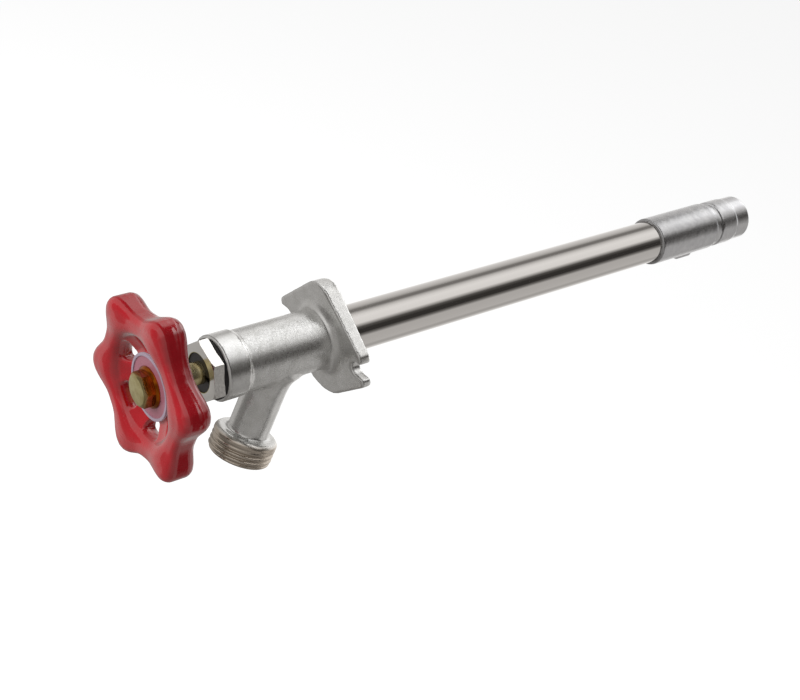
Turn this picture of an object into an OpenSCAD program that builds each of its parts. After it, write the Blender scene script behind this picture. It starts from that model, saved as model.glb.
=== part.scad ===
// Frost free sillcock: a wall tap whose valve sits at the warm end of a long tube.
// Frame: +Y runs along the tube into the wall, +Z is up, and the origin is the
// centre of the wall flange's back face. Drawn closed, in millimetres.

/* [Length through the wall] */
// From the back of the wall flange to the inlet end
wall_depth = 254; // [152:1:406]

/* [Barrel tube] */
// Outside diameter of the tube
tube_d = 20; // [19:0.1:22]
// Wall of the tube
tube_wall = 1.1; // [0.8:0.1:1.6]
// Depth of the tube in the head casting
head_socket_depth = 12; // [8:0.5:16]
// Depth of the tube in the inlet fitting
inlet_socket_depth = 9; // [6:0.5:12]

/* [Head casting] */
// From the back of the flange to the machined front face
head_len = 56.1; // [52:0.1:70]
// Diameter of the cast barrel
barrel_d = 25.3; // [24:0.1:30]
// Diameter of the machined front collar
front_collar_d = 26.8; // [26:0.1:31]
// Length of the machined front collar
front_collar_len = 10.8; // [6:0.1:14]
// Bore of the water chamber
chamber_d = 18; // [17.4:0.1:19]
// Passage that the stem is drawn out through
passage_d = 16.2; // [16:0.1:17]
// Length of that passage
passage_len = 3; // [2:0.1:5]
// Radius where the barrel runs into the flange
flange_fillet = 4; // [2:0.1:4.5]

/* [Wall flange] */
// Thickness of the flange at the tube's axis
flange_t = 5; // [4:0.1:7]
// Lean of the flange's front face, which makes its top thicker
flange_lean = 5; // [0:0.5:6]
// Height of the flange, corner to corner
flange_h = 48.4; // [46:0.1:60]
// Width of the flange over its longer ear tips
flange_w = 58.4; // [56:0.1:70]
// Corner radius at the top
flange_top_r = 11; // [6:0.1:14]
// Corner radius at the bottom
flange_bottom_r = 18; // [8:0.1:20]
// Sideways shift of the top corner, and of the bottom corner the other way
flange_skew = 2; // [0:0.1:4]
// Radius of each ear's tips
ear_r = 2.2; // [1.5:0.1:3]
// How much shorter one tip of each ear is than the other
ear_step = 2.4; // [0:0.1:3]
// Width of the open screw notches
notch_w = 6.2; // [5:0.1:8]
// Depth of the screw notches
notch_depth = 8; // [6:0.1:9]
// Drop of the notches below the tube's axis
notch_drop = 2; // [0:0.1:4]

/* [Spout] */
// Where the spout's axis leaves the tube's axis, outward from the flange's back
spout_station = 23.7; // [22:0.1:26]
// Lean of the spout from straight down, towards the handle
spout_lean = 22; // [10:0.5:30]
// Length of the spout along its own axis
spout_len = 49.3; // [44:0.1:60]
// Diameter of the spout's neck
neck_d = 17.2; // [16.5:0.1:20]
// Diameter that the neck flares to at the barrel
neck_root_d = 23; // [20:0.1:24]
// Bore of the spout
spout_bore_d = 12.6; // [10:0.1:13]
// Wider bore at the spout's mouth
mouth_bore_d = 15.6; // [14:0.1:18]
// Depth of that wider bore
mouth_depth = 8; // [5:0.1:10]
// Outside diameter of the hose thread
hose_thread_d = 27; // [26:0.1:28]
// Length of the threaded collar
hose_collar_len = 11.2; // [10:0.1:14]
// Chamfer at both ends of the threaded collar
hose_chamfer = 1.4; // [0.8:0.1:2]

/* [Inlet fitting] */
// Length of the fitting
fitting_len = 65.4; // [64:0.1:76]
// Diameter of the cast body
fitting_d = 22.8; // [22:0.1:26]
// Diameter of the relief groove
groove_d = 21.2; // [20.5:0.1:22]
// Width of the relief groove
groove_w = 5; // [3:0.1:6]
// From the relief groove to the spigot
groove_setback = 10.9; // [8:0.1:14]
// Length of the machined spigot at the inlet end
spigot_len = 9.6; // [8:0.1:12.4]
// Diameter of the spigot
spigot_d = 21.5; // [20.5:0.1:22]
// Solder socket for half-inch copper tube
solder_bore_d = 15.96; // [15.9:0.01:16.1]
// Depth of the solder socket
solder_depth = 12.7; // [10:0.1:13]
// Water way behind the seat
water_way_d = 13.6; // [11:0.1:14]
// From the inlet end to the seat's crest
seat_setback = 28; // [27:0.1:29.5]
// Bore through the valve seat
seat_bore_d = 9; // [7:0.1:9.4]
// Diameter over the seat's crest
seat_crest_d = 11; // [10.4:0.1:11.6]
// Height of the seat's crest
seat_crest_h = 1.5; // [1:0.1:2]
// Thickness of the wall that carries the seat
seat_wall = 3; // [2:0.1:4]
// Wider bore round the seat
valve_room_d = 17; // [16.6:0.1:17.6]
// From the fitting's front edge to the cast lug under it
lug_setback = 17; // [12:0.5:20]
// Length of the lug
lug_len = 15.5; // [10:0.5:18]
// Width of the lug
lug_w = 9; // [6:0.5:12]
// Height of the lug
lug_h = 1; // [0.5:0.1:1.5]

/* [Bonnet and packing] */
// Bonnet's hexagon across flats
bonnet_af = 23.2; // [22:0.1:25]
// Height of the hexagon
bonnet_hex_h = 3.9; // [3.6:0.1:7]
// Diameter of the bonnet's threaded barrel
bonnet_thread_d = 20.4; // [19.6:0.1:20.8]
// Depth of the barrel in the head casting
bonnet_depth = 11.1; // [10:0.1:14]
// Thickness of the bonnet's floor
bonnet_floor = 4; // [3.2:0.1:5]
// Thickness of the gasket behind the hexagon
gasket_t = 1.8; // [1:0.1:2.2]
// Diameter of that gasket
gasket_d = 26.6; // [24:0.1:26.8]
// Bore of the packing box in the bonnet
box_d = 16; // [15:0.1:17]
// Recess of the gland below the bonnet's front
gland_recess = 3.5; // [1:0.1:5]
// Length of the threaded gland
gland_len = 4.5; // [3:0.1:5]
// Width of the gland's two spanner slots
gland_slot = 2; // [1.5:0.1:3]
// Thickness of the packing washer
packing_washer_t = 1; // [0.6:0.1:1.5]
// Cord thickness of the stem's O-ring
o_ring_cord = 1.8; // [1.4:0.1:2]

/* [Stem] */
// Diameter of the stem through the packing
stem_d = 9; // [8:0.1:9.4]
// Side of the square that drives the wheel
square_side = 6.2; // [5.6:0.1:6.3]
// Diameter of the stop collar inside the chamber
stop_d = 13; // [12.2:0.1:14]
// Thickness of the stop collar
stop_t = 3; // [2:0.1:5]
// Thickness of the washer in front of the stop collar
stop_washer_t = 1.2; // [0.8:0.1:2]
// Diameter of the sleeve that takes the rod
sleeve_d = 12; // [11.6:0.1:12.8]
// Diameter of the operating rod
rod_d = 8; // [6:0.1:8.4]
// Depth of the rod in its sleeve and in the plug
rod_socket = 9.5; // [8:0.1:11]
// Diameter of the cross pins
rod_pin_d = 2.5; // [2:0.1:3]
// Length of the cross pins
rod_pin_len = 11.4; // [10:0.1:11.8]
// Diameter of the threaded plug
plug_d = 15.7; // [15.2:0.1:15.9]
// Length of the threaded plug
plug_len = 19; // [18:0.1:22]
// Distance from the axis to the plug's water flats
plug_flat = 6.2; // [6.1:0.1:7]
// Thread lead, the travel for one turn
stem_lead = 2.54; // [2:0.01:3.2]
// Turns from closed to open
stem_turns = 3; // [2:0.25:3]

/* [Swivel seat disc] */
// Diameter of the disc holder
holder_d = 13.4; // [13:0.1:14]
// Thickness of the holder's floor
holder_floor = 2; // [1.5:0.1:3]
// Rim of the holder round the washer
holder_rim = 0.6; // [0.4:0.1:0.8]
// Height of that rim
holder_rim_h = 1.6; // [1:0.1:2.4]
// Diameter of the holder's stud
stud_d = 5; // [4.6:0.1:5.4]
// Length of the holder's stud
stud_len = 7; // [6:0.1:7.4]
// Diameter of the stud at its groove
stud_groove_d = 3.8; // [3.6:0.1:4]
// Diameter of the swivel pin
swivel_pin_d = 1.8; // [1.4:0.1:2]
// Length of the swivel pin
swivel_pin_len = 11; // [9:0.1:12]
// Thickness of the seat washer
seat_washer_t = 3.2; // [2.5:0.1:4]
// Shank of the washer screw
washer_screw_d = 3; // [2.6:0.1:3.2]
// Head of the washer screw
washer_screw_head_d = 5.6; // [5:0.1:6.4]
// Height of that head
washer_screw_head_h = 1.4; // [1:0.1:1.8]

/* [Hand wheel] */
// Diameter over the lobes
wheel_d = 73.4; // [68:0.1:80]
// Number of lobes and of spokes
lobes = 6; // [5:1:6]
// Outside diameter of the rim between the lobes
rim_valley_d = 59; // [58:0.5:66]
// Inside diameter of the rim
rim_inner_d = 41; // [40:0.5:46]
// Thickness of the lobes along the stem
lobe_t = 13.4; // [11:0.1:15]
// Thickness of the rim between the lobes
rim_t = 10.3; // [8:0.1:12]
// Middle of the rim in front of the hub's face
rim_offset = 0.7; // [-1:0.1:3]
// Width of each spoke at its narrowest
spoke_w = 9; // [6:0.1:10]
// Thickness of the spokes at the hub
spoke_t = 5.4; // [4:0.1:8.4]
// Setback of the spokes behind the hub's face
spoke_setback = 0.8; // [0.5:0.1:2]
// Corner radius of the windows between the spokes
window_r = 2.4; // [1.5:0.1:2.8]
// Diameter of the hub's front
hub_d = 28; // [26:0.1:30]
// Thickness of the hub's front rim
hub_rim_t = 4.4; // [3:0.1:6]
// Diameter of the hub's back
hub_back_d = 17; // [15:0.1:20]
// Depth of the hub
hub_depth = 12.4; // [11:0.1:14]
// Gap from the bonnet to the hub when closed
hub_standoff = 8; // [5:0.1:12]
// Turn of the wheel at rest
wheel_turn = 8; // [0:1:59]
// Diameter of the round plate on the hub
plate_d = 26.9; // [24:0.1:27.6]
// Thickness of that plate
plate_t = 1; // [0.6:0.1:1.5]
// Raised rim of the plate
plate_rim = 1.2; // [0.8:0.1:2]

/* [Handle screw] */
// Hexagon of the screw across flats
screw_af = 12.7; // [11:0.1:14]
// Height of the hexagon
screw_hex_h = 4.2; // [3:0.1:6]
// Diameter of the head's flange
screw_flange_d = 16.8; // [16:0.1:19]
// Thickness of the head's flange
screw_flange_t = 1.3; // [0.8:0.1:2]
// Diameter of the shank
screw_shank_d = 4.8; // [4:0.1:5]
// Length of the shank
screw_shank_len = 11; // [8:0.1:11.6]

/* [Fits] */
// Radial clearance of turning and sliding fits
run_gap = 0.05; // [0.02:0.01:0.1]
// Radial clearance of soldered, pinned and screwed fits
fixed_gap = 0.03; // [0.01:0.01:0.05]
// Clearance between the seat and its washer when closed
seat_gap = 0.05; // [0.02:0.01:0.1]
// Travel left at the stop when fully open
stop_gap = 0.4; // [0.2:0.1:1]

/* [Hidden] */
$fn = 96;
eps = 0.01;
hull_fn = 32;
rim_steps = 72;
rim_sides = 16;
lobe_sharpness = 1.5;
squareness = 2.6;
nut_turn = 38;
screw_turn = 10;
hex_chamfer_angle = 30;
edge = 0.4;
chamfer = 0.8;
lug_ramp = 4;
thread_relief = 0.3;

tube_r = tube_d / 2;
tube_bore_r = tube_r - tube_wall;
stem_r = stem_d / 2;
lift = stem_lead * stem_turns;

// Stations along Y, from the handle end to the inlet end
face_y = -head_len;
hex_back_y = face_y - gasket_t;
hex_y = hex_back_y - bonnet_hex_h;
gland_y = hex_y + gland_recess;
washer_y = gland_y + gland_len;
packing_y = washer_y + packing_washer_t;
bonnet_end_y = face_y + bonnet_depth;
box_floor_y = bonnet_end_y - bonnet_floor;
o_ring_y = bonnet_end_y - bonnet_floor / 2;
passage_y = bonnet_end_y + thread_relief;
chamber_y = passage_y + passage_len;
stop_y = bonnet_end_y + lift + stop_gap + stop_washer_t;
sleeve_y = stop_y + stop_t;
rod_front_y = sleeve_y + 3;
sleeve_end_y = rod_front_y + rod_socket;

fitting_y = wall_depth - fitting_len;
tube_end_y = fitting_y + inlet_socket_depth;
seat_y = wall_depth - seat_setback;
washer_back_y = seat_y - seat_gap;
holder_floor_y = washer_back_y - seat_washer_t;
holder_y = holder_floor_y - holder_floor;
plug_end_y = holder_y - run_gap;
plug_y = plug_end_y - plug_len;
rod_end_y = plug_y + rod_socket;
stud_end_y = holder_y - stud_len;
swivel_pin_y = holder_y - stud_len / 2;
valve_room_y = plug_end_y - 1;
seat_floor_y = seat_y + seat_crest_h;
spigot_y = wall_depth - spigot_len;
groove_y = spigot_y - groove_setback - groove_w;

hub_back_y = hex_y - hub_standoff;
hub_y = hub_back_y - hub_depth;
rim_y = hub_y - rim_offset;
plate_y = hub_y - plate_t;
spindle_y = hub_y + 1;

ear_x = flange_w / 2 - ear_r;
ear_z = notch_w / 2 + ear_r;
flange_reach = 2 * flange_t;

// Turns an outline of [radius, station] points about the tube's axis
module turned(points) {
    rotate([-90, 0, 0]) rotate_extrude() polygon(points);
}

// A round bar or bore along Y between two stations
module bar(d, from, to) {
    translate([0, from, 0]) rotate([-90, 0, 0]) cylinder(d = d, h = to - from);
}

// A six-sided bar along Y, with one corner at the given turn from +X towards +Z
module hex_bar(across_flats, from, to, turn) {
    translate([0, from, 0]) rotate([0, -turn, 0]) rotate([-90, 0, 0])
        cylinder(d = across_flats / cos(30), h = to - from, $fn = 6);
}

// Takes its children from the spout's own axis, +Z out of the mouth
module on_spout() {
    translate([0, -spout_station, 0]) rotate([180 - spout_lean, 0, 0]) children();
}

// Outline of the wall flange: a rounded diamond with a notched ear on each side,
// the same again when it is turned half round the notches' middle
module flange_outline() {
    difference() {
        hull($fn = hull_fn) {
            translate([-flange_skew, flange_h / 2 - flange_top_r]) circle(flange_top_r);
            translate([flange_skew, flange_bottom_r - flange_h / 2]) circle(flange_bottom_r);
            translate([0, -notch_drop]) for (side = [-1, 1]) {
                translate([side * ear_x, -side * ear_z]) circle(ear_r);
                translate([side * (ear_x - ear_step), side * ear_z]) circle(ear_r);
            }
        }
        for (side = [-1, 1]) screw_notch(side);
    }
}

// Flange plate: flat at the back, with a front face that leans forward at its top
module flange_plate() {
    difference() {
        rotate([90, 0, 0]) linear_extrude(flange_reach) flange_outline();
        on_flange_front() translate([-flange_w, -2 * flange_reach, -flange_h])
            cube([2 * flange_w, 2 * flange_reach, 2 * flange_h]);
    }
}

// Takes its children from the leaning front face, -Y out of it
module on_flange_front() {
    translate([0, -flange_t, 0]) rotate([flange_lean, 0, 0]) children();
}

// Open notch for a wall screw, round at its inner end
module screw_notch(side) {
    round_x = flange_w / 2 - notch_depth + notch_w / 2;
    translate([side * round_x, -notch_drop]) circle(d = notch_w);
    translate([side * (round_x + notch_depth), -notch_drop])
        square([2 * notch_depth, notch_w], center = true);
}

// Concave fillet that runs the barrel out into the flange's front
module flange_fillet_ring() {
    barrel_r = barrel_d / 2;
    arc = [
        for (i = [0 : 8])
            let (a = 90 * i / 8)
            [
                barrel_r + flange_fillet * (1 - cos(a)),
                -flange_fillet * (1 - sin(a))
            ]
    ];
    on_flange_front() turned(concat(
        [[barrel_r - 1, -flange_fillet]],
        arc,
        [[barrel_r + flange_fillet, 1], [barrel_r - 1, 1]]
    ));
}

module barrel_outside() {
    barrel_r = barrel_d / 2;
    collar_r = front_collar_d / 2;
    step_y = face_y + front_collar_len;
    turned([
        [0, face_y],
        [collar_r - edge, face_y],
        [collar_r, face_y + edge],
        [collar_r, step_y - chamfer],
        [barrel_r, step_y],
        [barrel_r, -1],
        [0, -1]
    ]);
}

module spout_outside() {
    neck_r = neck_d / 2;
    root_r = neck_root_d / 2;
    collar_r = hose_thread_d / 2;
    collar_s = spout_len - hose_collar_len;
    flare_s = barrel_d / 2;
    flare = root_r - neck_r;
    on_spout() rotate_extrude() polygon(concat(
        [[0, 0], [root_r, 0]],
        [
            for (i = [0 : 8])
                let (a = 90 * i / 8)
                [root_r - flare * sin(a), flare_s - 4 + 3 * flare * (1 - cos(a))]
        ],
        [
            [neck_r, collar_s - chamfer],
            [neck_r + chamfer, collar_s],
            [collar_r - hose_chamfer, collar_s],
            [collar_r, collar_s + hose_chamfer],
            [collar_r, spout_len - hose_chamfer],
            [collar_r - hose_chamfer, spout_len],
            [0, spout_len]
        ]
    ));
}

module head_casting() color([0.72, 0.71, 0.69]) {
    difference() {
        union() {
            barrel_outside();
            spout_outside();
            flange_plate();
            flange_fillet_ring();
        }
        bar(bonnet_thread_d + 2 * fixed_gap, face_y - 1, passage_y);
        bar(passage_d, passage_y - eps, chamber_y + eps);
        bar(chamber_d, chamber_y, -head_socket_depth + eps);
        bar(tube_d + 2 * fixed_gap, -head_socket_depth, flange_t);
        on_spout() cylinder(d = spout_bore_d, h = spout_len + 1);
        on_spout() translate([0, 0, spout_len - mouth_depth])
            cylinder(d = mouth_bore_d, h = mouth_depth + 1);
    }
}

module barrel_tube() color([0.86, 0.85, 0.84]) {
    difference() {
        bar(tube_d, -head_socket_depth, tube_end_y);
        bar(2 * tube_bore_r, -head_socket_depth - 1, tube_end_y + 1);
    }
}

// Cast lug under the fitting, drawn from its side
module fitting_lug() {
    lug_y = fitting_y + lug_setback;
    root = -fitting_d / 2 + 1;
    low = -fitting_d / 2 - lug_h;
    rotate([90, 0, 90]) linear_extrude(lug_w, center = true) polygon([
        [lug_y, root],
        [lug_y + lug_ramp, low],
        [lug_y + lug_len - lug_ramp / 2, low],
        [lug_y + lug_len, root]
    ]);
}

module fitting_outside() {
    body_r = fitting_d / 2;
    back_r = body_r - 0.25;
    turned([
        [0, fitting_y],
        [body_r - chamfer, fitting_y],
        [body_r, fitting_y + chamfer],
        [body_r, groove_y],
        [groove_d / 2, groove_y + chamfer],
        [groove_d / 2, groove_y + groove_w - chamfer],
        [back_r, groove_y + groove_w],
        [back_r, spigot_y - chamfer],
        [spigot_d / 2, spigot_y],
        [spigot_d / 2, wall_depth - chamfer],
        [spigot_d / 2 - chamfer, wall_depth],
        [0, wall_depth]
    ]);
    fitting_lug();
}

module inlet_fitting() color([0.70, 0.69, 0.68]) {
    difference() {
        fitting_outside();
        bar(tube_d + 2 * fixed_gap, fitting_y - 1, tube_end_y);
        bar(plug_d + 2 * run_gap, tube_end_y - eps, valve_room_y + eps);
        difference() {
            bar(valve_room_d, valve_room_y, seat_floor_y);
            bar(seat_crest_d, seat_y, seat_floor_y + 1);
        }
        bar(seat_bore_d, seat_y - 1, seat_floor_y + seat_wall + eps);
        bar(water_way_d, seat_floor_y + seat_wall, wall_depth - solder_depth + eps);
        bar(solder_bore_d, wall_depth - solder_depth, wall_depth + 1);
    }
}

// Six-sided bar whose corners are turned off at its front end
module chamfered_hex(across_flats, from, to, turn) {
    corner_r = across_flats / 2 / cos(30);
    cut = 0.4 * (corner_r - across_flats / 2) + 0.3;
    intersection() {
        hex_bar(across_flats, from, to, turn);
        turned([
            [0, from],
            [corner_r - cut, from],
            [corner_r + 0.1, from + (cut + 0.1) * tan(hex_chamfer_angle)],
            [corner_r + 0.1, to],
            [0, to]
        ]);
    }
}

// Bonnet: a hexagon with a threaded barrel and an open box for the packing
module bonnet_nut() color([0.82, 0.81, 0.80]) {
    difference() {
        union() {
            chamfered_hex(bonnet_af, hex_y, hex_back_y, nut_turn);
            turned([
                [0, hex_back_y - eps],
                [bonnet_thread_d / 2, hex_back_y - eps],
                [bonnet_thread_d / 2, bonnet_end_y - chamfer],
                [bonnet_thread_d / 2 - chamfer, bonnet_end_y],
                [0, bonnet_end_y]
            ]);
        }
        bar(box_d + 2 * fixed_gap, hex_y - 1, box_floor_y);
        bar(stem_d + 2 * run_gap, box_floor_y - 1, bonnet_end_y + 1);
        bar(
            stem_d + 2 * o_ring_cord + 4 * run_gap,
            o_ring_y - o_ring_cord / 2 - 0.1,
            o_ring_y + o_ring_cord / 2 + 0.1
        );
    }
}

module bonnet_gasket() color([0.08, 0.08, 0.08]) {
    difference() {
        bar(gasket_d, hex_back_y, face_y);
        bar(bonnet_thread_d + 2 * fixed_gap, hex_back_y - 1, face_y + 1);
    }
}

// Flat ring round the stem in the packing box
module box_ring(from, to) {
    difference() {
        bar(box_d, from, to);
        bar(stem_d + 2 * run_gap, from - 1, to + 1);
    }
}

module packing_gland() color([0.10, 0.10, 0.10]) {
    difference() {
        box_ring(gland_y, washer_y);
        translate([-box_d / 2, gland_y - 1, -gland_slot / 2])
            cube([box_d, gland_slot + 1, gland_slot]);
    }
}

module packing_washer() color([0.78, 0.62, 0.32]) {
    box_ring(washer_y, packing_y);
}

module stem_packing() color([0.18, 0.18, 0.19]) {
    box_ring(packing_y, box_floor_y);
}

module stem_o_ring() color([0.08, 0.08, 0.08]) {
    translate([0, o_ring_y, 0]) rotate([-90, 0, 0]) rotate_extrude()
        translate([stem_r + run_gap + o_ring_cord / 2, 0]) circle(d = o_ring_cord);
}

// How far the rim swells at an angle, from 0 between two lobes to 1 on a lobe
function swell(angle) = pow((1 + cos(lobes * angle)) / 2, lobe_sharpness);

// Cosine or sine of a turn, drawn out so that a round section grows flatter sides
function squared(value) = sign(value) * pow(abs(value), 2 / squareness);

function rim_point(angle, turn) =
    let (
        s = swell(angle),
        outer = rim_valley_d / 2 + (wheel_d - rim_valley_d) / 2 * s,
        inner = rim_inner_d / 2,
        radius = (outer + inner) / 2 + (outer - inner) / 2 * squared(cos(turn)),
        depth = (rim_t + (lobe_t - rim_t) * s) / 2 * squared(sin(turn))
    )
    [radius * cos(angle), rim_y + depth, radius * sin(angle)];

// Rim swept round the stem as one closed skin
module lobed_rim() {
    points = [
        for (i = [0 : rim_steps - 1], j = [0 : rim_sides - 1])
            rim_point(360 * i / rim_steps, 360 * j / rim_sides)
    ];
    faces = [
        for (i = [0 : rim_steps - 1], j = [0 : rim_sides - 1])
            let (
                here = i * rim_sides,
                next = (i + 1) % rim_steps * rim_sides,
                j2 = (j + 1) % rim_sides
            )
            each [[here + j, next + j2, here + j2], [here + j, next + j, next + j2]]
    ];
    polyhedron(points = points, faces = faces, convexity = 6);
}

// Window between two spokes, with its straight sides along them
module spoke_window() {
    half = 180 / lobes;
    side = spoke_w / 2 + window_r;
    inner_r = side / sin(half);
    outer_r = rim_inner_d / 2 + 1 - window_r;
    spread = half - asin(side / outer_r);
    hull($fn = hull_fn) {
        rotate(half) translate([inner_r, 0]) circle(window_r);
        rotate(half) translate([outer_r, 0]) circle(window_r);
        for (turn = [half - spread, half + spread])
            rotate(turn) translate([outer_r, 0]) circle(window_r);
    }
}

// Web of broad spokes that rises from the hub's face into the rim
module spoke_web() {
    reach = rim_inner_d / 2 + 3;
    front_y = hub_y + spoke_setback;
    difference() {
        turned([
            [0, front_y],
            [hub_d / 2, front_y],
            [reach, rim_y - rim_t / 3],
            [reach, rim_y + rim_t / 3],
            [hub_d / 2, front_y + spoke_t],
            [0, front_y + spoke_t]
        ]);
        translate([0, rim_y + rim_t, 0]) rotate([90, 0, 0]) linear_extrude(2 * rim_t)
            for (k = [0 : lobes - 1]) rotate(k * 360 / lobes) spoke_window();
    }
}

module hub() {
    turned([
        [0, hub_y],
        [hub_d / 2 - edge, hub_y],
        [hub_d / 2, hub_y + edge],
        [hub_d / 2, hub_y + hub_rim_t - chamfer],
        [hub_d / 2 - chamfer, hub_y + hub_rim_t],
        [hub_back_d / 2 + chamfer, hub_y + hub_rim_t + 3],
        [hub_back_d / 2, hub_back_y - edge],
        [hub_back_d / 2 - edge, hub_back_y],
        [0, hub_back_y]
    ]);
}

module handle_wheel() color([0.72, 0.08, 0.12]) {
    square_hole = square_side + 2 * fixed_gap;
    difference() {
        rotate([0, -wheel_turn, 0]) union() {
            lobed_rim();
            hub();
            spoke_web();
        }
        rotate([0, -wheel_turn, 0])
            translate([-square_hole / 2, hub_y - 1, -square_hole / 2])
            cube([square_hole, hub_depth + 2, square_hole]);
    }
}

module handle_plate() color([0.86, 0.76, 0.80]) {
    plate_r = plate_d / 2;
    difference() {
        turned([
            [0, plate_y + 0.2],
            [plate_r - plate_rim, plate_y + 0.2],
            [plate_r - plate_rim, plate_y - 0.2],
            [plate_r, plate_y - 0.2],
            [plate_r, hub_y],
            [0, hub_y]
        ]);
        bar(screw_shank_d + 0.4, plate_y - 1, hub_y + 1);
    }
}

module handle_screw() color([0.80, 0.62, 0.28]) {
    seat = plate_y + 0.2;
    flange_y = seat - screw_flange_t;
    chamfered_hex(screw_af, flange_y - screw_hex_h, flange_y + eps, screw_turn);
    turned([
        [0, flange_y],
        [screw_flange_d / 2 - chamfer, flange_y],
        [screw_flange_d / 2, flange_y + chamfer],
        [screw_flange_d / 2, seat],
        [0, seat]
    ]);
    bar(screw_shank_d, seat - eps, seat + screw_shank_len);
}

module stem_spindle() color([0.80, 0.68, 0.42]) {
    pin_y = rod_front_y + rod_socket / 2;
    difference() {
        union() {
            rotate([0, -wheel_turn, 0])
                translate([-square_side / 2, spindle_y, -square_side / 2])
                cube([square_side, hub_back_y - spindle_y + eps, square_side]);
            turned([
                [0, hub_back_y],
                [stem_r - edge, hub_back_y],
                [stem_r, hub_back_y + edge],
                [stem_r, stop_y],
                [stop_d / 2, stop_y],
                [stop_d / 2, sleeve_y],
                [sleeve_d / 2, sleeve_y],
                [sleeve_d / 2, sleeve_end_y],
                [0, sleeve_end_y]
            ]);
        }
        bar(screw_shank_d + 2 * fixed_gap, spindle_y - 1, plate_y + screw_shank_len + 1.2);
        bar(rod_d + 2 * fixed_gap, rod_front_y, sleeve_end_y + 1);
        cross_pin(rod_pin_d + 2 * fixed_gap, sleeve_d + 2, pin_y);
    }
}

// Pin or pin hole across the axis, upright
module cross_pin(d, len, y) {
    translate([0, y, -len / 2]) cylinder(d = d, h = len);
}

module stop_washer() color([0.90, 0.90, 0.86]) {
    difference() {
        bar(stop_d - 0.6, stop_y - stop_washer_t, stop_y);
        bar(stem_d + 2 * fixed_gap, stop_y - stop_washer_t - 1, stop_y + 1);
    }
}

module operating_rod() color([0.74, 0.72, 0.68]) {
    difference() {
        bar(rod_d, rod_front_y, rod_end_y);
        cross_pin(rod_pin_d + 2 * fixed_gap, rod_d + 2, rod_front_y + rod_socket / 2);
        cross_pin(rod_pin_d + 2 * fixed_gap, rod_d + 2, rod_end_y - rod_socket / 2);
    }
}

module rod_pins() color([0.66, 0.66, 0.66]) {
    cross_pin(rod_pin_d, rod_pin_len, rod_front_y + rod_socket / 2);
    cross_pin(rod_pin_d, rod_pin_len, rod_end_y - rod_socket / 2);
}

// Where the swivel pin crosses, beside the stud's groove
function swivel_pin_x() = stud_groove_d / 2 + swivel_pin_d / 2 + run_gap;

module threaded_plug() color([0.80, 0.68, 0.42]) {
    stud_bore = stud_d + 2 * run_gap;
    difference() {
        bar(plug_d, plug_y, plug_end_y);
        for (turn = [30, 150, 270])
            rotate([0, -turn, 0])
                translate([plug_flat, plug_y - 1, -plug_d / 2])
                cube([plug_d, plug_len + 2, plug_d]);
        bar(rod_d + 2 * fixed_gap, plug_y - 1, rod_end_y);
        bar(stud_bore, stud_end_y - 0.3, plug_end_y + 1);
        cross_pin(rod_pin_d + 2 * fixed_gap, plug_d + 2, rod_end_y - rod_socket / 2);
        translate([swivel_pin_x(), 0, 0])
            cross_pin(swivel_pin_d + 2 * fixed_gap, plug_d + 2, swivel_pin_y);
    }
}

module swivel_pin() color([0.66, 0.66, 0.66]) {
    translate([swivel_pin_x(), 0, 0]) cross_pin(swivel_pin_d, swivel_pin_len, swivel_pin_y);
}

module disc_holder() color([0.80, 0.68, 0.42]) {
    holder_r = holder_d / 2;
    groove = swivel_pin_d / 2 + 0.2;
    difference() {
        turned([
            [0, stud_end_y],
            [stud_d / 2, stud_end_y],
            [stud_d / 2, swivel_pin_y - groove],
            [stud_groove_d / 2, swivel_pin_y - groove],
            [stud_groove_d / 2, swivel_pin_y + groove],
            [stud_d / 2, swivel_pin_y + groove],
            [stud_d / 2, holder_y],
            [holder_r, holder_y],
            [holder_r, holder_floor_y + holder_rim_h],
            [holder_r - holder_rim, holder_floor_y + holder_rim_h],
            [holder_r - holder_rim, holder_floor_y],
            [0, holder_floor_y]
        ]);
        bar(washer_screw_d + 2 * fixed_gap, holder_y - 0.9, holder_floor_y + 1);
    }
}

module seat_washer() color([0.07, 0.07, 0.07]) {
    difference() {
        bar(holder_d - 2 * holder_rim - 0.1, holder_floor_y, washer_back_y);
        bar(washer_screw_d + 0.2, holder_floor_y - 1, washer_back_y + 1);
    }
}

module washer_screw() color([0.78, 0.62, 0.32]) {
    bar(washer_screw_d, holder_y - 0.8, washer_back_y + eps);
    turned([
        [0, washer_back_y],
        [washer_screw_head_d / 2, washer_back_y],
        [washer_screw_head_d / 2, washer_back_y + washer_screw_head_h - 0.5],
        [washer_screw_head_d / 2 - 0.5, washer_back_y + washer_screw_head_h],
        [0, washer_back_y + washer_screw_head_h]
    ]);
}

head_casting();
barrel_tube();
inlet_fitting();
bonnet_nut();
bonnet_gasket();
packing_gland();
packing_washer();
stem_packing();
stem_o_ring();
handle_wheel();
handle_plate();
handle_screw();
stem_spindle();
stop_washer();
operating_rod();
rod_pins();
threaded_plug();
swivel_pin();
disc_holder();
seat_washer();
washer_screw();
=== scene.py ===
import math

import bmesh
import bpy
from mathutils import Matrix, Vector


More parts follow.
